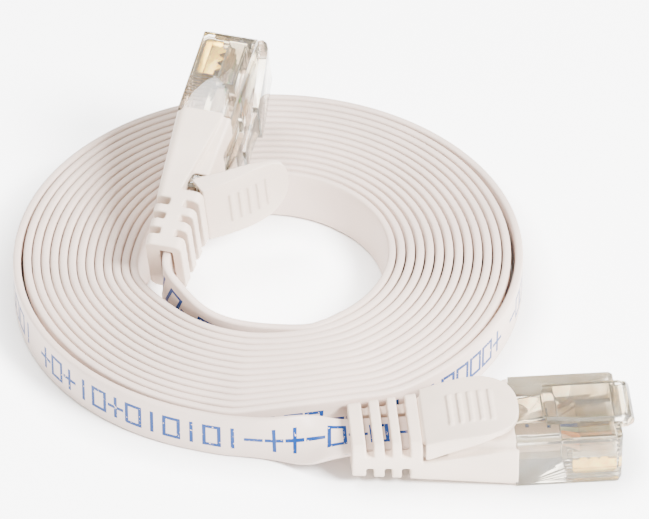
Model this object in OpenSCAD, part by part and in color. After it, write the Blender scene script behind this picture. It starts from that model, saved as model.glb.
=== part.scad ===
// Flat ethernet patch cable, coiled, with an 8P8C (RJ45) plug and a
// snagless boot on each end.  Millimetres, +Z up, standing on Z = 0.
// Each plug is drawn in its own frame: origin at the middle of the boot's
// tail, +X to the nose, +Z to the latch side, Y across the contacts.

/* [Cable] */
// Width of the flat jacket, which is also the height of the coil
cable_width = 5.8; // [5.6:0.1:5.9]
// Thickness of the flat jacket
cable_thickness = 1.1; // [1.0:0.05:1.2]
// Diameter of one insulated conductor
wire_diameter = 0.58; // [0.5:0.02:0.6]

/* [Coil] */
// Outer radius of the wound turns
coil_radius = 30.5; // [30:0.1:31]
// Radius of the open middle
coil_hole_radius = 14.65; // [14.4:0.05:15]

/* [Plug] */
// Width of the clear housing
plug_width = 11.68; // [11.5:0.02:11.8]
// Height of the clear housing without its latch
plug_height = 6.6; // [6.5:0.05:6.7]
// Distance between neighbouring contacts
contact_pitch = 1.02; // [1.0:0.01:1.04]
// Thickness of a contact blade
contact_thickness = 0.35; // [0.25:0.05:0.4]

/* [Boot] */
// Width of the boot at its front edge
boot_front_width = 12.2; // [12:0.1:12.6]
// Width of the boot at its tail
boot_tail_width = 8.6; // [8.2:0.1:9]
// Thickness of the latch guard
guard_thickness = 0.75; // [0.6:0.05:0.8]
// How far the latch guard of the inner plug stands open, in degrees
guard_open_angle = 40; // [30:1:42]
// How far a free latch stands up from its pressed position, in degrees
latch_free_angle = 9; // [6:1:10]

/* [Hidden] */
$fn = 48;

// The coil's middle, seen from the middle of the whole cable's footprint
coil_middle = [-5.8, 2.9, 0];

// Where the two plugs lie, measured from the coil's middle
outer_tail = [9.3, -31.7, 3.46];
outer_yaw = 4.5;
inner_tail = [-12.5, -5.2, 7.5];
inner_yaw = 74.5;
inner_pitch = 15.5;
inner_roll = 90;

// Plug frame stations along X
nose_x = 31.2;
housing_rear_x = 9.7;
neck_end_x = 14.2;
shoulder_x = 18.9;
boot_front_x = 19.2;
jacket_end_x = 24.2;
bar_start_x = 26.4;
bar_end_x = 30.4;
wire_end_x = 30.2;

jacket_z = 0.3;
running_gap = 0.05;
wire_spread_start = 0.68;

// Latch pin in the nose, and guard pin at the boot's last rib
latch_pin = [30.9, 0, 2.8];
latch_pin_radius = 0.45;
latch_width = 6.2;
lever_width = 3.9;
guard_pin = [8.45, 0, 2.35];
guard_pin_radius = 0.35;

// The guard is a strip of a big drum whose crown is guard_crown_x along
guard_drum_radius = 27.4;
guard_crown_x = 17.2;
guard_crown_z = 4.3;
guard_round_x = 13.2;
guard_tip_x = 19.6;

// Boot ribs: the open grooves between them, as [start, end] along X
boot_grooves = [[1.6, 2.5], [3.7, 4.6], [5.7, 6.7]];

boot_colour = [0.93, 0.92, 0.90];
cable_colour = [0.94, 0.93, 0.93];
clear_colour = [0.90, 0.89, 0.82, 0.5];
gold_colour = [0.88, 0.70, 0.30];

// Conductor colours in T568B order, pin 1 first
wire_colours = [
    [0.95, 0.75, 0.55], [0.95, 0.50, 0.15], [0.75, 0.90, 0.75], [0.20, 0.35, 0.80],
    [0.70, 0.78, 0.95], [0.20, 0.60, 0.30], [0.80, 0.70, 0.60], [0.45, 0.28, 0.15]
];

// ---------------------------------------------------------------- placing

module at_outer() {
    translate(coil_middle + outer_tail) rotate([0, 0, outer_yaw]) children();
}

module at_inner() {
    translate(coil_middle + inner_tail)
        rotate([inner_roll, -inner_pitch, inner_yaw])
            children();
}

// Turns its children by an angle about an axis along Y through a pin
module about_pin(pin, angle) {
    translate(pin) rotate([0, angle, 0]) translate(-pin) children();
}

// A bar along Y through a point of the X-Z plane
module cross_bar(at, radius, length) {
    translate(at) rotate([90, 0, 0]) cylinder(r = radius, h = length, center = true);
}

// A side-view outline, drawn in X and Z, given a width across Y
module side_extrude(width) {
    rotate([90, 0, 0]) linear_extrude(height = width, center = true) children();
}

// A rectangle with round corners
module round_rect(width, height, radius) {
    square([width - 2 * radius, height], center = true);
    square([width, height - 2 * radius], center = true);
    for (sx = [-1, 1], sy = [-1, 1])
        translate([sx * (width / 2 - radius), sy * (height / 2 - radius)])
            circle(r = radius, $fn = 24);
}

// A thin slab across X, used to loft the boot and the neck of the housing
module slab(x, width, height, radius) {
    translate([x, 0, 0]) rotate([90, 0, 90])
        linear_extrude(height = 0.02) round_rect(width, height, radius);
}

// ---------------------------------------------------------------- cable

// Catmull-Rom point between p1 and p2
function blend_point(p0, p1, p2, p3, t) =
    0.5 * ((2 * p1) + (p2 - p0) * t + (2 * p0 - 5 * p1 + 4 * p2 - p3) * t * t
        + (3 * p1 - p0 - 3 * p2 + p3) * t * t * t);

// The route through hand-set points, with the given steps between two points
function smooth_route(points, steps) = [
    for (i = [1 : len(points) - 3], k = [0 : steps - 1])
        blend_point(points[i - 1], points[i], points[i + 1], points[i + 2], k / steps),
    points[len(points) - 2]
];

function unit(v) = v / norm(v);
function route_direction(r, i) =
    unit(r[min(i + 1, len(r) - 1)] - r[max(i - 1, 0)]);

// Across-the-cable direction: upright when lean is 0, flat when it is 90
function across(direction, lean) =
    let (up = unit([0, 0, 1] - direction * direction[2]), side = cross(direction, up))
    up * cos(lean) - side * sin(lean);

// Eight-sided section of the flat jacket: across it and through it
function jacket_outline() =
    let (w = cable_width / 2, t = cable_thickness / 2, c = 0.3)
    [[w, t - c], [w - c, t], [c - w, t], [-w, t - c],
     [-w, c - t], [c - w, -t], [w - c, -t], [w, c - t]];

// Ten-sided section of a round conductor
function wire_outline() =
    [for (k = [0 : 9]) [cos(36 * k), -sin(36 * k)] * wire_diameter / 2];

// route holds [x, y, z, lean] for every ring of the sweep
module sweep(route, outline) {
    centres = [for (p = route) [p[0], p[1], p[2]]];
    rings = len(route);
    sides = len(outline);
    points = [
        for (i = [0 : rings - 1])
            let (
                d = route_direction(centres, i),
                a = across(d, route[i][3]),
                b = cross(d, a)
            )
            for (q = outline) centres[i] + a * q[0] + b * q[1]
    ];
    walls = [
        for (i = [0 : rings - 2], k = [0 : sides - 1])
            [i * sides + k, i * sides + (k + 1) % sides,
             (i + 1) * sides + (k + 1) % sides, (i + 1) * sides + k]
    ];
    start = [[for (k = [sides - 1 : -1 : 0]) k]];
    end = [[for (k = [0 : sides - 1]) (rings - 1) * sides + k]];
    polyhedron(points = points, faces = concat(walls, start, end), convexity = 6);
}

function outer_point(x, z) = [
    outer_tail[0] + x * cos(outer_yaw),
    outer_tail[1] + x * sin(outer_yaw),
    outer_tail[2] + z
];

function inner_axis() = [
    cos(inner_pitch) * cos(inner_yaw), cos(inner_pitch) * sin(inner_yaw), sin(inner_pitch)
];
function inner_normal() = [sin(inner_yaw), -cos(inner_yaw), 0];
function inner_point(x, z) = inner_tail + inner_axis() * x + inner_normal() * z;
function leaning(p, lean) = [p[0], p[1], p[2], lean];

// Leaves the coil on edge and turns flat just before the outer boot
outer_route = [
    [-12.0, -29.1, 2.95, 0],
    [-8.0, -29.7, 2.95, 0],
    [-4.0, -30.3, 2.95, 0],
    [0.0, -30.9, 3.00, 0],
    [3.0, -31.3, 3.15, 25],
    [6.0, -31.7, 3.50, 68],
    leaning(outer_point(0, jacket_z), 90),
    leaning(outer_point(6, jacket_z), 90),
    leaning(outer_point(14, jacket_z), 90),
    leaning(outer_point(jacket_end_x, jacket_z), 90),
    leaning(outer_point(jacket_end_x + 6, jacket_z), 90)
];

// Leaves the inner boot on edge and follows the wall of the hole
inner_route = [
    leaning(inner_point(jacket_end_x + 6, jacket_z), 0),
    leaning(inner_point(jacket_end_x, jacket_z), 0),
    leaning(inner_point(14, jacket_z), 0),
    leaning(inner_point(6, jacket_z), 0),
    leaning(inner_point(0, jacket_z), 0),
    [-12.2, -7.5, 6.6, 0],
    [-10.6, -9.7, 5.2, 0],
    [-8.0, -11.9, 3.9, 0],
    [-4.6, -13.3, 3.2, 0],
    [0.0, -14.0, 2.95, 0],
    [5.0, -13.9, 2.95, 0],
    [9.0, -12.6, 2.95, 0]
];

module cable_coil() {
    color(cable_colour)
        translate(coil_middle)
            difference() {
                translate([-0.15, 0, 0]) cylinder(r = coil_radius, h = cable_width, $fn = 120);
                translate([-0.4, 0.1, -1]) cylinder(r = coil_hole_radius, h = cable_width + 2, $fn = 96);
                // the near side is pressed flat by the outer lead
                translate([-60, -60, -1]) cube([120, 30.1, cable_width + 2]);
                // and pushed in beside the outer boot
                translate([-6, -29.95, -1]) rotate([0, 0, 10.4])
                    translate([0, -20, 0]) cube([60, 20, cable_width + 2]);
                // the inner boot presses the turns back at its tail
                translate(inner_tail) rotate([inner_roll, -inner_pitch, inner_yaw])
                    translate([-0.3, -6.4, -3.6]) cube([22, 12.8, 7.2]);
            }
}

module cable_outer_lead() {
    color(cable_colour) translate(coil_middle) sweep(smooth_route(outer_route, 3), jacket_outline());
}

module cable_inner_lead() {
    color(cable_colour) translate(coil_middle) sweep(smooth_route(inner_route, 3), jacket_outline());
}

// ---------------------------------------------------------------- plug

// Tapered rear end of the housing, grown by a gap to make its pocket
module housing_neck(gap) {
    hull() {
        slab(housing_rear_x - gap, 8.0 + 2 * gap, 4.6 + 2 * gap, 0.4);
        slab(neck_end_x, 8.2 + 2 * gap, 4.9 + 2 * gap, 0.4);
    }
    hull() {
        slab(neck_end_x, 8.2 + 2 * gap, 4.9 + 2 * gap, 0.4);
        slab(shoulder_x, 11.0 + 2 * gap, 6.0 + 2 * gap, 0.4);
    }
}

module plug_housing() {
    color(clear_colour)
        difference() {
            union() {
                translate([shoulder_x, -plug_width / 2, -plug_height / 2])
                    cube([nose_x - shoulder_x, plug_width, plug_height]);
                housing_neck(0);
            }
            // cable way, and the chamber of the load bar ahead of it
            translate([housing_rear_x - 1, -3.2, -0.7])
                cube([jacket_end_x - housing_rear_x + 1.2, 6.4, 2.0]);
            translate([jacket_end_x, -4.65, -0.1])
                cube([bar_end_x - jacket_end_x + 0.1, 9.3, 2.2]);
            // crimp window
            translate([13.6, -3.0, -4]) cube([4.8, 6.0, 3.6]);
            // one wide slot and one tight slit for each contact
            for (i = [0 : 7]) {
                y = (i - 3.5) * contact_pitch;
                translate([24.9, y - 0.31, -4]) cube([8, 0.62, 1.9]);
                translate([25.5, y - contact_thickness / 2 - 0.02, -3])
                    cube([5.2, contact_thickness + 0.04, 3]);
            }
            // seat of the latch pin, open to the front
            cross_bar(latch_pin, latch_pin_radius + running_gap, latch_width + 0.2);
            translate([latch_pin[0], -latch_width / 2 - 0.1, 2.3])
                cube([2, latch_width + 0.2, 2]);
            // shallow bed that the pressed lever drops into
            translate([shoulder_x - 4, -lever_width / 2 - 0.3, 2.7])
                cube([22.6 - shoulder_x + 4, lever_width + 0.6, 2]);
            // bevelled nose edges
            translate([nose_x, 0, -plug_height / 2]) rotate([0, 45, 0])
                cube([0.6, 20, 0.6], center = true);
            for (s = [-1, 1])
                translate([nose_x, s * plug_width / 2, 0]) rotate([0, 0, 45])
                    cube([0.6, 0.6, 20], center = true);
        }
}

// Drawn pressed down; it swings up about its pin
module plug_latch() {
    color(clear_colour) {
        cross_bar(latch_pin, latch_pin_radius, latch_width);
        side_extrude(latch_width)
            polygon([
                [30.9, 2.40], [31.4, 2.45], [32.1, 2.60], [32.7, 3.05], [32.8, 3.60],
                [32.4, 4.10], [31.6, 4.35], [26.0, 4.30], [22.6, 4.15], [22.6, 3.42],
                [31.3, 3.42], [31.8, 3.35], [31.9, 3.15], [31.5, 3.00], [30.9, 3.20]
            ]);
        side_extrude(lever_width)
            polygon([
                [23.0, 3.45], [23.0, 4.05], [21.4, 3.62], [19.6, 3.32], [16.7, 3.16],
                [16.7, 2.78], [19.6, 2.84]
            ]);
    }
}

module contact_blades() {
    color(gold_colour)
        for (i = [0 : 7])
            translate([0, (i - 3.5) * contact_pitch, 0])
                side_extrude(contact_thickness)
                    polygon([
                        [25.6, -2.55], [25.9, -2.85], [30.2, -2.85], [30.6, -2.45],
                        [30.6, -0.90], [29.7, -0.90], [29.2, 0.0], [28.7, -0.90],
                        [28.5, -0.90], [28.0, 0.0], [27.5, -0.90], [27.3, -0.90],
                        [26.8, 0.0], [26.3, -0.90], [25.6, -0.90]
                    ]);
}

module load_bar() {
    color(clear_colour)
        difference() {
            union() {
                translate([bar_start_x, -4.55, -0.05])
                    cube([bar_end_x - bar_start_x, 9.1, 1.75]);
                for (y = [-4.38, -1.46, 1.46, 4.38])
                    translate([bar_start_x, y - 0.17, 1.6])
                        cube([bar_end_x - bar_start_x, 0.34, 0.4]);
            }
            for (i = [0 : 7])
                translate([0, (i - 3.5) * contact_pitch, 0]) {
                    translate([bar_start_x - 1, 0, jacket_z]) rotate([0, 90, 0])
                        cylinder(d = wire_diameter + 0.1, h = 6);
                    translate([bar_start_x - 1, -wire_diameter / 2 - 0.05, jacket_z - 1])
                        cube([6, wire_diameter + 0.1, 1]);
                }
        }
}

module crimp_wedge() {
    color(clear_colour)
        side_extrude(5.8)
            polygon([[13.8, -1.9], [13.9, -2.2], [18.1, -2.2], [18.2, -1.9],
                     [17.4, -0.27], [15.2, -0.27]]);
}

// One conductor: fans out from the jacket, then runs straight to the nose
module wire(i) {
    y_start = (i - 3.5) * wire_spread_start;
    y_end = (i - 3.5) * contact_pitch;
    color(wire_colours[i])
        sweep([
            [jacket_end_x + 0.2, y_start, jacket_z, 0],
            [bar_start_x, y_end, jacket_z, 0],
            [bar_start_x + 0.4, y_end, jacket_z, 0],
            [wire_end_x, y_end, jacket_z, 0]
        ], wire_outline());
}

// ---------------------------------------------------------------- boot

// Thin roof over the neck of the housing, with a way for the latch's lever
module boot_deck() {
    difference() {
        union() {
            hull() {
                slab(11.0, 8.9, 5.4, 0.4);
                slab(neck_end_x, 9.0, 5.6, 0.4);
            }
            hull() {
                slab(neck_end_x, 9.0, 5.6, 0.4);
                slab(shoulder_x, 11.6, 6.7, 0.4);
            }
        }
        translate([15.8, -2.2, 2.0]) cube([4, 4.4, 2]);
        translate([10, -8, -8]) cube([10, 16, 8]);
    }
}

module boot() {
    color(boot_colour)
        difference() {
            union() {
                difference() {
                    union() {
                        hull() {
                            slab(0, boot_tail_width, 4.5, 0.9);
                            slab(8, 9.9, 5.6, 1.0);
                        }
                        hull() {
                            slab(8, 9.9, 5.6, 1.0);
                            slab(boot_front_x - 0.02, boot_front_width, 6.9, 1.2);
                        }
                    }
                    // open latch side, from the last rib to the front
                    side_extrude(20)
                        polygon([[8.1, 0.1], [19.4, 2.5], [19.4, 6], [8.1, 6]]);
                }
                boot_deck();
                // rail that carries the guard's pin
                translate([7.2, -4.05, 0]) cube([1.4, 8.1, 2.0]);
            }
            // grooves across the strain relief, which two side bars bridge
            for (g = boot_grooves)
                difference() {
                    translate([g[0], -8, -8]) cube([g[1] - g[0], 16, 16]);
                    for (s = [-1, 1])
                        translate([g[0] - 1, s * 4.7 - 1.5, -0.8]) cube([3, 3, 1.7]);
                }
            // cable way
            translate([-1, -3.1, jacket_z - 0.8]) cube([12, 6.2, 1.6]);
            // pocket for the back of the housing
            housing_neck(running_gap);
            translate([shoulder_x - 0.05, -5.9, -3.33]) cube([2, 11.8, 8]);
            // seat of the guard pin
            cross_bar(guard_pin, guard_pin_radius + running_gap, 8.6);
        }
}

// Half width of the guard at a distance from the tail: wider to the front,
// then a full round end
function guard_half_width(x) =
    let (t = max(0, (x - guard_round_x) / (guard_tip_x - guard_round_x)))
    (4.95 + (x - guard_pin[0]) * 0.07) * pow(1 - pow(min(t, 1), 2.4), 1 / 2.4);

// Plan of the guard: a tongue with a rounded end
module guard_plan(inset) {
    stations = [for (k = [0 : 26]) guard_pin[0] + (guard_tip_x - guard_pin[0]) * sin(90 * k / 26)];
    near = [for (x = stations) [x, -max(0, guard_half_width(x) - inset)]];
    far = [for (k = [25 : -1 : 0]) [stations[k], guard_half_width(stations[k]) - inset]];
    polygon(concat(near, far));
}

// Drawn closed; it swings up about its pin at the root
module latch_guard() {
    drum = [guard_crown_x, 0, guard_crown_z - guard_drum_radius];
    color(boot_colour) {
        intersection() {
            translate([0, 0, -1]) linear_extrude(height = 8) guard_plan(0);
            difference() {
                union() {
                    cross_bar(drum, guard_drum_radius, 14);
                    // low grip ridges
                    intersection() {
                        cross_bar(drum, guard_drum_radius + 0.22, 5.2);
                        for (k = [0 : 4])
                            translate([11.4 + 1.2 * k, -3, 0]) cube([0.45, 6, 8]);
                    }
                }
                difference() {
                    cross_bar(drum, guard_drum_radius - guard_thickness, 16);
                    // side skirts at the root
                    difference() {
                        side_extrude(14)
                            polygon([[8.4, 0.6], [8.9, 0.6], [12.5, 2.15], [15.0, 3.05],
                                     [17.6, 3.9], [17.6, 4.5], [8.4, 4.5]]);
                        translate([0, 0, -2]) linear_extrude(height = 10) guard_plan(0.6);
                    }
                }
                translate([0, -10, -30]) cube([30, 20, 30.5]);
            }
        }
        cross_bar(guard_pin, guard_pin_radius, 7.9);
    }
}

// ---------------------------------------------------------------- sub-parts

module outer_plug_housing() { at_outer() plug_housing(); }
module outer_plug_latch() { at_outer() plug_latch(); }
module outer_contacts() { at_outer() contact_blades(); }
module outer_load_bar() { at_outer() load_bar(); }
module outer_crimp_wedge() { at_outer() crimp_wedge(); }
module outer_boot() { at_outer() boot(); }
module outer_latch_guard() { at_outer() latch_guard(); }
module outer_wire(n) { at_outer() wire(n - 1); }

module inner_plug_housing() { at_inner() plug_housing(); }
module inner_plug_latch() { at_inner() about_pin(latch_pin, latch_free_angle) plug_latch(); }
module inner_contacts() { at_inner() contact_blades(); }
module inner_load_bar() { at_inner() load_bar(); }
module inner_crimp_wedge() { at_inner() crimp_wedge(); }
module inner_boot() { at_inner() boot(); }
module inner_latch_guard() { at_inner() about_pin(guard_pin, -guard_open_angle) latch_guard(); }
module inner_wire(n) { at_inner() wire(n - 1); }

cable_coil();
cable_outer_lead();
cable_inner_lead();
outer_plug_housing();
outer_plug_latch();
outer_contacts();
outer_load_bar();
outer_crimp_wedge();
outer_boot();
outer_latch_guard();
outer_wire(1);  // outer_wire_1
outer_wire(2);  // outer_wire_2
outer_wire(3);  // outer_wire_3
outer_wire(4);  // outer_wire_4
outer_wire(5);  // outer_wire_5
outer_wire(6);  // outer_wire_6
outer_wire(7);  // outer_wire_7
outer_wire(8);  // outer_wire_8
inner_plug_housing();
inner_plug_latch();
inner_contacts();
inner_load_bar();
inner_crimp_wedge();
inner_boot();
inner_latch_guard();
inner_wire(1);  // inner_wire_1
inner_wire(2);  // inner_wire_2
inner_wire(3);  // inner_wire_3
inner_wire(4);  // inner_wire_4
inner_wire(5);  // inner_wire_5
inner_wire(6);  // inner_wire_6
inner_wire(7);  // inner_wire_7
inner_wire(8);  // inner_wire_8
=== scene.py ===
"""Looks of a coiled flat patch cable with a clear plug and a boot on each end."""
import math

import bmesh
import bpy
from mathutils import Matrix, Vector


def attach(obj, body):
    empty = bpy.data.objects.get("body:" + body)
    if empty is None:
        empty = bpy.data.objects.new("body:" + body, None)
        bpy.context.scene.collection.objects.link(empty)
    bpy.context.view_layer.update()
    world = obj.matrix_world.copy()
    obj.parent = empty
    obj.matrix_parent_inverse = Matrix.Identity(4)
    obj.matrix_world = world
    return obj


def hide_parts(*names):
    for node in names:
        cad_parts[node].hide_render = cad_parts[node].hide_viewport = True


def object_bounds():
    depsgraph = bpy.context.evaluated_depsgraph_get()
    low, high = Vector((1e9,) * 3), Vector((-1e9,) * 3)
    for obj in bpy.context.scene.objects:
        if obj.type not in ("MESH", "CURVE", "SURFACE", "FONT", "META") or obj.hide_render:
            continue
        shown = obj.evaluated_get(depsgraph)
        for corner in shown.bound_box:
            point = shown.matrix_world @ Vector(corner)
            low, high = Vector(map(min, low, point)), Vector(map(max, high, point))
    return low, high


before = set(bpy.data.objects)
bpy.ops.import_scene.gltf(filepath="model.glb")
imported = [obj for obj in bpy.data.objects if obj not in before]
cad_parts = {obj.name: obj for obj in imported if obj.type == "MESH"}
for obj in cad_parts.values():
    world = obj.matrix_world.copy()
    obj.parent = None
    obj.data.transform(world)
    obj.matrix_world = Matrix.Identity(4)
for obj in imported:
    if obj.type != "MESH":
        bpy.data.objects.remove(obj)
cad_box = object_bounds()

MM = 0.001
UP = Vector((0, 0, 1))

# ------------------------------------------------------------------ places
# The same figures as in part.scad, in millimetres from the coil's middle.
COIL_MIDDLE = Vector((-5.8, 2.9, 0))
OUTER_TAIL = Vector((9.3, -31.7, 3.46))
OUTER_YAW = 4.5
INNER_TAIL = Vector((-12.5, -5.2, 7.5))
INNER_YAW = 74.5
INNER_PITCH = 15.5
INNER_ROLL = 90

CABLE_WIDTH = 5.8
JACKET_Z = 0.3
JACKET_END_X = 24.2


def plug_frame(tail, yaw, pitch, roll):
    """Plug axes and place: +X to the nose, +Z to the latch side."""
    turn = (
        Matrix.Rotation(math.radians(yaw), 4, "Z")
        @ Matrix.Rotation(math.radians(-pitch), 4, "Y")
        @ Matrix.Rotation(math.radians(roll), 4, "X")
    )
    return Matrix.Translation(COIL_MIDDLE + tail) @ turn


OUTER = plug_frame(OUTER_TAIL, OUTER_YAW, 0, 0)
INNER = plug_frame(INNER_TAIL, INNER_YAW, INNER_PITCH, INNER_ROLL)


# ------------------------------------------------------------------ camera
CAMERA_ELEVATION = 39.8
CAMERA_DISTANCE = 0.691
CAMERA_LENS = 315.8
CAMERA_AIM = Vector((6.4, 5.1, 0))


def add_camera():
    elevation = math.radians(CAMERA_ELEVATION)
    back = Vector((0, -math.cos(elevation), math.sin(elevation)))
    data = bpy.data.cameras.new("camera")
    data.sensor_width = 36
    data.lens = CAMERA_LENS
    data.clip_start = 0.01
    camera = bpy.data.objects.new("camera", data)
    camera.location = (COIL_MIDDLE + CAMERA_AIM) * MM + CAMERA_DISTANCE * back
    camera.rotation_euler = (math.pi / 2 - elevation, 0, 0)
    bpy.context.collection.objects.link(camera)
    bpy.context.scene.camera = camera


add_camera()

# ------------------------------------------------------------------ cable
# Lengths are in millimetres. Angles are in degrees round the coil, from +X to +Y.
SPIRAL_START = 300.0
SPIRAL_END = 252.0 + 14 * 360
SPIRAL_STEP = 5.0
SPIRAL_TURNS = (SPIRAL_END - SPIRAL_START) / 360
START_RADIUS = 14.74
END_RADIUS = 30.42
PITCH = (END_RADIUS - START_RADIUS) / SPIRAL_TURNS

# The turns' middle at the innermost turn, and its drift to the outermost
MIDDLE_X, DRIFT_X = -0.4, 0.25
MIDDLE_Y, DRIFT_Y = 0.1, -0.1

# The last turn stands off a little at two places
OUTER_GAP = 0.32
OUTER_GAP_SPOTS = (215, 0)
OUTER_GAP_WIDTH = 40

# The flat that the outer plug presses into the near side: how far it is from
# the middle, which way it faces, the angles it runs between, the radius that
# stays as it is, and the room kept for half the jacket's thickness
FLAT_DISTANCE = 28.376
FLAT_FACING = (0.1805, -0.9836)
FLAT_FROM, FLAT_TO = 252, 310
FLAT_INNER_RADIUS = 14.7
OUTER_FACE = 0.52

# The inner boot pushes the inner turns outwards
PUSH = 0.9
PUSH_ANGLE, PUSH_WIDTH = 196, 16
PUSH_RADIUS = 15

# The inner turns lean over the hole, less where the inner boot holds them
LEAN, LEAN_SWING = 11, 5
HELD_LEAN, HELD_ANGLE, HELD_WIDTH = 9, 235, 50
LEAN_FADE = 1.2
LEAN_ONSET = 110

# The jacket's way inside a plug, by its place from the boot's tail; the last
# place only steers the curve's end
WAY_IN_PLUG = (0, 3, 6, 12, 18, JACKET_END_X, 30)

# (centre, lean) where the jacket turns from flat at the outer boot to on edge
OUTER_TURN = (
    ((7.0, -31.78, 3.65), 78.0),
    ((4.6, -31.6, 3.35), 48.0),
    ((2.2, -31.3, 3.15), 18.0),
    ((-0.3, -30.95, 3.0), 3.0),
    ((-3.0, -30.6, 2.95), 0.0),
    ((-5.8, -30.15, 2.92), 0.0),
)

# The same where it rises from the wall of the hole into the inner boot
INNER_RISE = (
    ((5.0, -13.9, 2.92), 0.0),
    ((0.0, -14.0, 2.95), 0.0),
    ((-4.6, -13.3, 3.2), 0.0),
    ((-8.0, -11.9, 3.9), 0.0),
    ((-10.6, -9.7, 5.2), 0.0),
    ((-12.2, -7.5, 6.6), 0.0),
)

# Rings for each step from knot to knot
COIL_CUTS = 2
LEAD_CUTS = 4

# The jacket's section. It is a little thinner than the solid's, so that gaps
# show between the turns
CABLE_THICKNESS = 0.95
EDGE_ROUND = 0.32
FACE_PLACES = (1.6, 0.8, 0, -0.8, -1.6)
BACK_SHIFT = 20


def swell(theta, middle, width):
    """1 at middle, falling to 0 over width, around the circle in degrees."""
    away = (theta - middle + 180) % 360 - 180
    return math.exp(-((away / width) ** 2))


def pressed(theta, radius):
    """Radius after the outer plug flattens the near side and the inner boot pushes the turns."""
    if FLAT_FROM < theta < FLAT_TO:
        a = math.radians(theta)
        facing = FLAT_FACING[0] * math.cos(a) + FLAT_FACING[1] * math.sin(a)
        free = END_RADIUS - PITCH * (((SPIRAL_END - theta) % 360) / 360) + OUTER_FACE
        scale = (FLAT_DISTANCE / facing - FLAT_INNER_RADIUS) / (free - FLAT_INNER_RADIUS)
        radius = FLAT_INNER_RADIUS + (radius - FLAT_INNER_RADIUS) * min(1.0, scale)
    share = max(0.0, 1 - (radius - PUSH_RADIUS) / PUSH_RADIUS)
    return radius + PUSH * share * swell(theta, PUSH_ANGLE, PUSH_WIDTH)


def spiral_point(phi):
    """Centre of the jacket on its spiral, and how far its top leans to the hole."""
    theta = phi % 360
    turns = (phi - SPIRAL_START) / 360
    radius = pressed(theta, START_RADIUS + PITCH * turns)
    if SPIRAL_END - phi < 360:
        radius += OUTER_GAP * sum(swell(theta, spot, OUTER_GAP_WIDTH) for spot in OUTER_GAP_SPOTS)
    depth = turns / SPIRAL_TURNS
    a = math.radians(theta)
    lean = LEAN + LEAN_SWING * math.sin(a) - HELD_LEAN * swell(theta, HELD_ANGLE, HELD_WIDTH)
    lean *= (1 - depth) ** LEAN_FADE * min(1.0, max(0.0, (phi - SPIRAL_START) / LEAN_ONSET))
    middle = Vector((MIDDLE_X + DRIFT_X * depth, MIDDLE_Y + DRIFT_Y * depth, 0))
    centre = middle + Vector((math.cos(a), math.sin(a), 0)) * radius
    inward = Vector((-math.cos(a), -math.sin(a), 0))
    half = CABLE_WIDTH / 2
    centre = centre + inward * half * math.sin(math.radians(lean))
    centre.z = half
    return centre, -lean


def in_plug(place, x):
    """Centre of the jacket inside a plug, x from the boot's tail."""
    return place @ Vector((x, 0, JACKET_Z)) - COIL_MIDDLE


def catmull(p0, p1, p2, p3, t):
    """Point at t between p1 and p2 on the smooth curve through all four."""
    return 0.5 * (
        2 * p1
        + (p2 - p0) * t
        + (2 * p0 - 5 * p1 + 4 * p2 - p3) * t * t
        + (3 * p1 - p0 - 3 * p2 + p3) * t * t * t
    )


def cable_knots():
    """(centre, lean) from inside the outer plug to inside the inner one, in three lists."""
    outer = [(in_plug(OUTER, x), 90.0) for x in reversed(WAY_IN_PLUG)]
    outer += [(Vector(centre), lean) for centre, lean in OUTER_TURN]
    coil = []
    phi = SPIRAL_END
    while phi > SPIRAL_START + SPIRAL_STEP:
        coil.append(spiral_point(phi))
        phi -= SPIRAL_STEP
    inner = [(Vector(centre), lean) for centre, lean in INNER_RISE]
    inner += [(in_plug(INNER, x), 0.0) for x in WAY_IN_PLUG]
    return outer, coil, inner


def cable_route():
    """The knots joined by a smooth curve, as close rings of (centre, lean)."""
    outer, coil, inner = cable_knots()
    knots = outer + coil + inner
    rings = []
    for i in range(1, len(knots) - 2):
        four = knots[i - 1: i + 3]
        cuts = COIL_CUTS if len(outer) < i < len(outer) + len(coil) else LEAD_CUTS
        for k in range(cuts):
            centre = catmull(*[p[0] for p in four], k / cuts)
            lean = catmull(*[p[1] for p in four], k / cuts)
            rings.append((centre, lean))
    rings.append(knots[-2])
    return rings


def jacket_outline():
    """Section of the jacket, a rectangle with round corners: (across, through)."""
    half, thick = CABLE_WIDTH / 2, CABLE_THICKNESS / 2
    corners = (
        (1, 1, 0, FACE_PLACES),
        (-1, 1, 90, ()),
        (-1, -1, 180, FACE_PLACES[::-1]),
        (1, -1, 270, ()),
    )
    outline = []
    for sx, sy, start, face in corners:
        for k in range(4):
            a = math.radians(start + 30 * k)
            across = sx * (half - EDGE_ROUND) + EDGE_ROUND * math.cos(a)
            through = sy * (thick - EDGE_ROUND) + EDGE_ROUND * math.sin(a)
            outline.append((across, through))
        outline += [(x, sy * thick) for x in face]
    return outline


def new_mesh_object(name, vertices, faces):
    mesh = bpy.data.meshes.new(name)
    mesh.from_pydata(vertices, [], faces)
    mesh.validate()
    for face in mesh.polygons:
        face.use_smooth = True
    piece = bpy.data.objects.new(name, mesh)
    bpy.context.collection.objects.link(piece)
    return piece


def jacket_vertices(rings, outline):
    """The outline set at every ring, in metres."""
    vertices = []
    for i, (centre, lean) in enumerate(rings):
        before = rings[max(0, i - 1)][0]
        after = rings[min(len(rings) - 1, i + 1)][0]
        forward = (after - before).normalized()
        up = (UP - forward * forward.z).normalized()
        inward = forward.cross(up)
        a = math.radians(lean)
        across = up * math.cos(a) + inward * math.sin(a)
        through = up * math.sin(a) - inward * math.cos(a)
        for x, y in outline:
            vertices.append((COIL_MIDDLE + centre + across * x + through * y) * MM)
    return vertices


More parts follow.
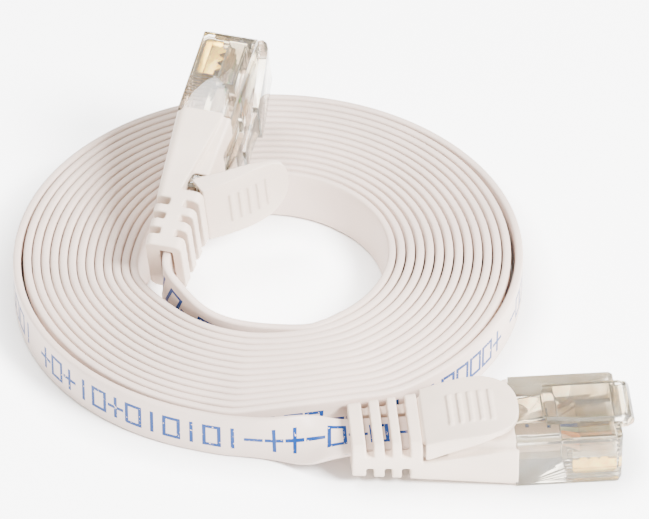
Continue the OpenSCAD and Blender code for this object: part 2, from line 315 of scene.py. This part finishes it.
def tube_faces(count, sides):
    """Faces of a closed tube of count rings with a number of sides each."""
    faces = []
    for i in range(count - 1):
        here, there = i * sides, (i + 1) * sides
        for k in range(sides):
            j = (k + 1) % sides
            faces.append((here + k, here + j, there + j, there + k))
    faces.append(tuple(range(sides - 1, -1, -1)))
    faces.append(tuple((count - 1) * sides + k for k in range(sides)))
    return faces


def add_cable():
    """The cable, its route in metres and its length in metres."""
    rings = cable_route()
    outline = jacket_outline()
    along = [0.0]
    for (before, _), (centre, _) in zip(rings, rings[1:]):
        along.append(along[-1] + (centre - before).length)
    faces = tube_faces(len(rings), len(outline))
    piece = new_mesh_object("flat_cable", jacket_vertices(rings, outline), faces)
    mesh = piece.data
    uv = mesh.uv_layers.new(name="along")
    for loop in mesh.loops:
        ring, side = divmod(loop.vertex_index, len(outline))
        x, y = outline[side]
        # the inward face is moved out of the print's reach
        uv.data[loop.index].uv = (along[ring], x if y > 0 else x + BACK_SHIFT)
    route = [(COIL_MIDDLE + centre) * MM for centre, _ in rings]
    return piece, route, along[-1] * MM


# ------------------------------------------------------------------ moulded edges
# By the part's name, in millimetres: the even mesh's grain where a part has many
# small cuts, and the edge radius where its faces are large and plain
MOULD_GRAINS = {"boot": 0.13, "latch_guard": 0.11}
EDGE_RADII = {"plug_housing": 0.13, "plug_latch": 0.16, "load_bar": 0.04}
MOULD_PASSES = 5
MOULD_SMOOTHING = 0.5
BEVEL_CUTS = 3
WELD = 0.002

# In degrees: faces that meet at less are one plane, edges sharper than the
# second get a bevel, and edges sharper than the third stay crisp
PLANE_ANGLE, BEVEL_ANGLE, CRISP_ANGLE = 1, 28, 40


def bevelled(piece, radius):
    """Rounds the sharp edges of a piece whose faces are large and plain."""
    made = bmesh.new()
    made.from_mesh(piece.data)
    bmesh.ops.remove_doubles(made, verts=made.verts, dist=WELD * MM)
    bmesh.ops.dissolve_limit(
        made, angle_limit=math.radians(PLANE_ANGLE), verts=made.verts, edges=made.edges
    )
    made.to_mesh(piece.data)
    made.free()
    bevel = piece.modifiers.new("edges", "BEVEL")
    bevel.width = radius * MM
    bevel.segments = BEVEL_CUTS
    bevel.limit_method = "ANGLE"
    bevel.angle_limit = math.radians(BEVEL_ANGLE)


def remoulded(piece, grain):
    """Rounds every edge of a piece with many small cuts, by an even mesh smoothed a little."""
    even = piece.modifiers.new("even", "REMESH")
    even.mode = "VOXEL"
    even.voxel_size = grain * MM
    smooth = piece.modifiers.new("smooth", "SMOOTH")
    smooth.factor = MOULD_SMOOTHING
    smooth.iterations = MOULD_PASSES


def softened(name, part, body):
    """Stands a copy of a CAD node with moulded round edges in for the sharp one."""
    piece = bpy.data.objects.new(f"{name}_moulded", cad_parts[name].data.copy())
    bpy.context.collection.objects.link(piece)
    if part in MOULD_GRAINS:
        remoulded(piece, MOULD_GRAINS[part])
    else:
        bevelled(piece, EDGE_RADII[part])
    bpy.context.view_layer.update()
    ready = piece.evaluated_get(bpy.context.evaluated_depsgraph_get())
    piece.data = bpy.data.meshes.new_from_object(ready)
    piece.modifiers.clear()
    for face in piece.data.polygons:
        face.use_smooth = True
    piece.data.set_sharp_from_angle(angle=math.radians(CRISP_ANGLE))
    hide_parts(name)
    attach(piece, body)
    return piece


# ------------------------------------------------------------------ materials
INK = (0.002, 0.035, 0.17)
JACKET_LIGHT = (0.71, 0.57, 0.495)
JACKET_DARK = (0.60, 0.485, 0.425)
BOOT_LIGHT = (0.77, 0.625, 0.52)
BOOT_DARK = (0.66, 0.54, 0.45)
CLEAR_LIGHT = (1.0, 0.96, 0.87)
CLEAR_DARK = (0.90, 0.80, 0.63)
BAR_DARK = (0.42, 0.31, 0.17)
BAR_LIGHT = (0.62, 0.50, 0.31)
# painted shade: the near black ridge colours stand for the dark lines that shade makes along the
# load bar's grooves
RIDGE_SHADE_DARK = (0.02, 0.014, 0.006)
RIDGE_SHADE_LIGHT = (0.05, 0.035, 0.015)
GOLD_DARK = (0.80, 0.53, 0.09)
GOLD_LIGHT = (0.96, 0.74, 0.20)
WIRE_TINTS = (
    (0.90, 0.62, 0.42), (0.88, 0.34, 0.06), (0.62, 0.80, 0.62), (0.06, 0.14, 0.52),
    (0.55, 0.65, 0.85), (0.06, 0.36, 0.12), (0.66, 0.54, 0.42), (0.22, 0.11, 0.05),
)
WIRE_SHADE = 0.82
BUMP_STRENGTH = 0.3

# The printed marks: the millimetres and the blocks from one to the next, the
# middle column of each, how many columns and rows it reaches out from there,
# and the seed of their order
MARK_PITCH = 2.45
MARK_BLOCKS = 5.5
MIDDLE_COLUMN = 2.0
COLUMNS_OUT = 2
ROWS_OUT = 3
MARK_SEED = 81

# Faces of the load bar above this height, from the plug's axis, are its ridges, which get the
# painted shade
RIDGE_BASE_Z = 1.72


class Shader:
    """A node material built up in a few calls."""

    def __init__(self, name):
        self.material = bpy.data.materials.new(name)
        self.material.use_nodes = True
        self.tree = self.material.node_tree
        self.bsdf = self.tree.nodes["Principled BSDF"]
        self.place = self.node("ShaderNodeTexCoord").outputs["Object"]

    def node(self, kind, **settings):
        made = self.tree.nodes.new(kind)
        for key, value in settings.items():
            setattr(made, key, value)
        return made

    def link(self, a, b):
        self.tree.links.new(a, b)

    def noise(self, scale, detail, roughness=0.5):
        made = self.node("ShaderNodeTexNoise")
        made.inputs["Scale"].default_value = scale
        made.inputs["Detail"].default_value = detail
        made.inputs["Roughness"].default_value = roughness
        self.link(self.place, made.inputs["Vector"])
        return made.outputs["Fac"]

    def ramp(self, source, low, high, first, second):
        """First colour up to low, second from high on."""
        made = self.node("ShaderNodeValToRGB")
        made.color_ramp.elements[0].position = low
        made.color_ramp.elements[1].position = high
        made.color_ramp.elements[0].color = (*first, 1)
        made.color_ramp.elements[1].color = (*second, 1)
        self.link(source, made.inputs["Fac"])
        return made.outputs["Color"]

    def maths(self, operation, a, b=None):
        made = self.node("ShaderNodeMath", operation=operation)
        for socket, value in zip(made.inputs, (a, b)):
            if value is None:
                continue
            if isinstance(value, (int, float)):
                socket.default_value = value
            else:
                self.link(value, socket)
        return made.outputs[0]

    def uneven(self, scale, detail, least, spread):
        """A value that wanders with a noise, from least by up to spread."""
        result = self.maths("MULTIPLY_ADD", self.noise(scale, detail), spread)
        result.node.inputs[2].default_value = least
        return result

    def mix(self, factor, first, second):
        made = self.node("ShaderNodeMix", data_type="RGBA")
        self.link(factor, made.inputs["Factor"])
        for socket, value in ((made.inputs[6], first), (made.inputs[7], second)):
            if isinstance(value, tuple):
                socket.default_value = (*value, 1)
            else:
                self.link(value, socket)
        return made.outputs[2]

    def bump(self, height, distance):
        made = self.node("ShaderNodeBump")
        made.inputs["Distance"].default_value = distance
        made.inputs["Strength"].default_value = BUMP_STRENGTH
        self.link(height, made.inputs["Height"])
        self.link(made.outputs["Normal"], self.bsdf.inputs["Normal"])

    def set(self, **values):
        for key, value in values.items():
            self.bsdf.inputs[key.replace("_", " ")].default_value = value


def moulded(name, light, dark, roughness, grain=1400, grain_depth=0.00003):
    """Moulded plastic: a slow tint, a fine grain and an uneven sheen."""
    s = Shader(name)
    tint = s.ramp(s.noise(90, 4), 0.35, 0.68, dark, light)
    s.link(tint, s.bsdf.inputs["Base Color"])
    s.link(s.uneven(260, 3, roughness - 0.09, 0.18), s.bsdf.inputs["Roughness"])
    s.bump(s.noise(grain, 3, 0.6), grain_depth)
    s.set(IOR=1.46, Specular_IOR_Level=0.35)
    return s.material


def printed_jacket():
    """Satin jacket with a row of plain blocky marks on its outward face."""
    s = Shader("cable_jacket")
    where = s.node("ShaderNodeUVMap", uv_map="along").outputs["UV"]
    parts = s.node("ShaderNodeSeparateXYZ")
    s.link(where, parts.inputs[0])

    def all_of(*tests):
        result = tests[0]
        for test in tests[1:]:
            result = s.maths("MULTIPLY", result, test)
        return result

    block = MARK_PITCH / MARK_BLOCKS
    cell = s.maths("FLOOR", s.maths("DIVIDE", parts.outputs["X"], MARK_PITCH))
    within = s.maths("SUBTRACT", parts.outputs["X"], s.maths("MULTIPLY", cell, MARK_PITCH))
    column = s.maths("FLOOR", s.maths("DIVIDE", within, block))
    row = s.maths("FLOOR", s.maths("ADD", s.maths("DIVIDE", parts.outputs["Y"], block), 0.5))
    # whole blocks from the mark's middle
    across = s.maths("ABSOLUTE", s.maths("SUBTRACT", column, MIDDLE_COLUMN))
    up = s.maths("ABSOLUTE", row)
    picks = s.node("ShaderNodeTexWhiteNoise", noise_dimensions="1D")
    s.link(s.maths("ADD", cell, MARK_SEED), picks.inputs["W"])
    pick = picks.outputs["Value"]

    upright = all_of(s.maths("LESS_THAN", across, 0.5), s.maths("LESS_THAN", up, ROWS_OUT + 0.5))
    level = all_of(s.maths("LESS_THAN", up, 0.5), s.maths("LESS_THAN", across, COLUMNS_OUT + 0.5))
    up_in_columns = s.maths("MULTIPLY", up, COLUMNS_OUT / ROWS_OUT)
    ring = s.maths("COMPARE", s.maths("MAXIMUM", across, up_in_columns), COLUMNS_OUT)
    ring.node.inputs[2].default_value = 0.1
    # each shape's share of the marks, from and to; the rest stays blank
    shapes = (
        (0.00, 0.30, ring),
        (0.30, 0.48, upright),
        (0.48, 0.62, level),
        (0.62, 0.88, s.maths("MAXIMUM", upright, level)),
    )
    ink = 0.0
    for low, high, shape in shapes:
        chosen = all_of(shape, s.maths("GREATER_THAN", pick, low), s.maths("LESS_THAN", pick, high))
        ink = s.maths("MAXIMUM", chosen, ink)
    unworn = s.maths("GREATER_THAN", s.noise(2600, 2), 0.33)
    ink = all_of(ink, unworn)
    tint = s.ramp(s.noise(70, 4), 0.3, 0.7, JACKET_DARK, JACKET_LIGHT)
    s.link(s.mix(ink, tint, INK), s.bsdf.inputs["Base Color"])
    s.link(s.uneven(240, 3, 0.30, 0.15), s.bsdf.inputs["Roughness"])
    s.bump(s.noise(900, 3), 0.00003)
    s.set(Specular_IOR_Level=0.22)
    return s.material


def clear_plastic():
    """Clear plastic with a warm tint and uneven moulded walls that bend what is behind them."""
    s = Shader("clear_plastic")
    tint = s.ramp(s.noise(420, 3, 0.55), 0.40, 0.62, CLEAR_DARK, CLEAR_LIGHT)
    s.link(tint, s.bsdf.inputs["Base Color"])
    s.link(s.uneven(400, 2, 0.02, 0.08), s.bsdf.inputs["Roughness"])
    s.bump(s.noise(260, 2), 0.00003)
    s.set(IOR=1.45, Transmission_Weight=0.96)
    return s.material


def bar_plastic(name, dark, light, least):
    """Cloudy moulding of the load bar, least being its thinnest cover; the ridges' painted shade is
    made with it too.
    """
    s = Shader(name)
    tint = s.ramp(s.noise(520, 3), 0.35, 0.65, dark, light)
    s.link(tint, s.bsdf.inputs["Base Color"])
    s.link(s.uneven(700, 2, least, 0.3), s.bsdf.inputs["Alpha"])
    s.bump(s.noise(900, 2), 0.00003)
    s.set(Roughness=0.3, IOR=1.46)
    return s.material


def gold_plate():
    s = Shader("contact_gold")
    tint = s.ramp(s.noise(900, 3), 0.3, 0.7, GOLD_DARK, GOLD_LIGHT)
    s.link(tint, s.bsdf.inputs["Base Color"])
    s.link(s.uneven(1200, 3, 0.15, 0.2), s.bsdf.inputs["Roughness"])
    s.bump(s.noise(3000, 2), 0.00001)
    s.set(Metallic=1.0)
    return s.material


def finishes():
    """One finish for each part of a plug, by the part's name."""
    clear = clear_plastic()
    boot = moulded("boot_plastic", BOOT_LIGHT, BOOT_DARK, roughness=0.42)
    table = {
        "plug_housing": clear,
        "plug_latch": clear,
        "crimp_wedge": clear,
        "load_bar": bar_plastic("load_bar_plastic", BAR_DARK, BAR_LIGHT, least=0.15),
        "contacts": gold_plate(),
        "boot": boot,
        "latch_guard": boot,
    }
    for i, tint in enumerate(WIRE_TINTS, 1):
        dark = tuple(WIRE_SHADE * c for c in tint)
        table[f"wire_{i}"] = moulded(
            f"wire_{i}_insulation", tint, dark, roughness=0.35, grain=2500, grain_depth=0.00001
        )
    return table


def add_ridge_shade(piece, place):
    """Gives the top of the load bar's four ridges a fuller, darker colour: a painted shade for the
    dark lines along the grooves.
    """
    ridge_shade = bar_plastic("load_bar_ridge_painted_shade", RIDGE_SHADE_DARK, RIDGE_SHADE_LIGHT, least=0.85)
    piece.data.materials.append(ridge_shade)
    to_plug = place.inverted()
    for face in piece.data.polygons:
        if (to_plug @ (face.center / MM)).z > RIDGE_BASE_Z:
            face.material_index = 1


def add_plugs():
    """Dresses every part of the two plugs; the moulded ones get round edges first."""
    table = finishes()
    bodies = {"latch_guard": "guard", "plug_latch": "latch"}
    pieces = {}
    for name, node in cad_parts.items():
        end, _, part = name.partition("_")
        if part not in table:
            continue
        piece = node
        if part in MOULD_GRAINS or part in EDGE_RADII:
            body = f"{end}_{bodies[part]}" if part in bodies else "cable"
            piece = softened(name, part, body)
        piece.data.materials.clear()
        piece.data.materials.append(table[part])
        node.data.materials.clear()
        node.data.materials.append(table[part])
        if part == "load_bar":
            add_ridge_shade(piece, OUTER if end == "outer" else INNER)
        pieces[name] = piece
    return pieces


# ------------------------------------------------------------------ stage
FLOOR_HALF = 3.0
FLOOR_DROP = 0.00002
FLOOR_DARK = (0.93, 0.93, 0.93)
FLOOR_LIGHT = (0.95, 0.95, 0.95)
FLOOR_GLOW = 3.3
SHADE_REACH = 0.005
SHADE_DEPTH = 3.5
LOW_SKY = (0.30, 0.25, 0.19, 1)
HIGH_SKY = (1.0, 0.99, 0.97, 1)
SKY_FADE = (0.05, 0.55)
SKY_STRENGTH = 0.75


def add_floor():
    """Pale floor that glows a little, less where the object shades it: the dimmed glow is a painted
    contact shadow.
    """
    e = FLOOR_HALF
    corners = [(-e, -e, 0), (e, -e, 0), (e, e, 0), (-e, e, 0)]
    floor = new_mesh_object("floor", corners, [(0, 1, 2, 3)])
    floor.location.z = cad_box[0][2] - FLOOR_DROP
    s = Shader("floor_white")
    tint = s.ramp(s.noise(4, 3), 0.3, 0.7, FLOOR_DARK, FLOOR_LIGHT)
    s.link(tint, s.bsdf.inputs["Base Color"])
    # painted contact shadow: ambient occlusion dims the floor's glow close to the object
    near = s.node("ShaderNodeAmbientOcclusion")
    near.inputs["Distance"].default_value = SHADE_REACH
    open_share = s.maths("POWER", near.outputs["AO"], SHADE_DEPTH)
    s.link(s.maths("MULTIPLY", open_share, FLOOR_GLOW), s.bsdf.inputs["Emission Strength"])
    s.set(Roughness=0.9, Emission_Color=(1, 1, 1, 1))
    floor.data.materials.append(s.material)


def add_light(name, place, power, size):
    """Round soft light aimed at the middle."""
    data = bpy.data.lights.new(name, "AREA")
    data.energy = power
    data.shape = "DISK"
    data.size = size
    lamp = bpy.data.objects.new(name, data)
    lamp.location = place
    lamp.rotation_euler = (-Vector(place)).to_track_quat("-Z", "Y").to_euler()
    bpy.context.collection.objects.link(lamp)


def add_sky():
    """Soft light from all round, dim and warm from below."""
    world = bpy.data.worlds.new("studio")
    world.use_nodes = True
    nodes, links = world.node_tree.nodes, world.node_tree.links
    height = nodes.new("ShaderNodeSeparateXYZ")
    links.new(nodes.new("ShaderNodeTexCoord").outputs["Generated"], height.inputs[0])
    fade = nodes.new("ShaderNodeValToRGB")
    for stop, place, colour in zip(fade.color_ramp.elements, SKY_FADE, (LOW_SKY, HIGH_SKY)):
        stop.position = place
        stop.color = colour
    links.new(height.outputs["Z"], fade.inputs["Fac"])
    links.new(fade.outputs["Color"], nodes["Background"].inputs["Color"])
    nodes["Background"].inputs["Strength"].default_value = SKY_STRENGTH
    bpy.context.scene.world = world


# ------------------------------------------------------------------ making
cable, route, length = add_cable()
cable.data.materials.append(printed_jacket())
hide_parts("cable_coil", "cable_outer_lead", "cable_inner_lead")
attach(cable, "cable")
plug_pieces = add_plugs()
add_floor()
add_sky()
add_light("key", (0.45, -0.30, 0.50), power=27.0, size=0.25)
add_light("top", (-0.20, 0.10, 0.85), power=10.5, size=0.35)
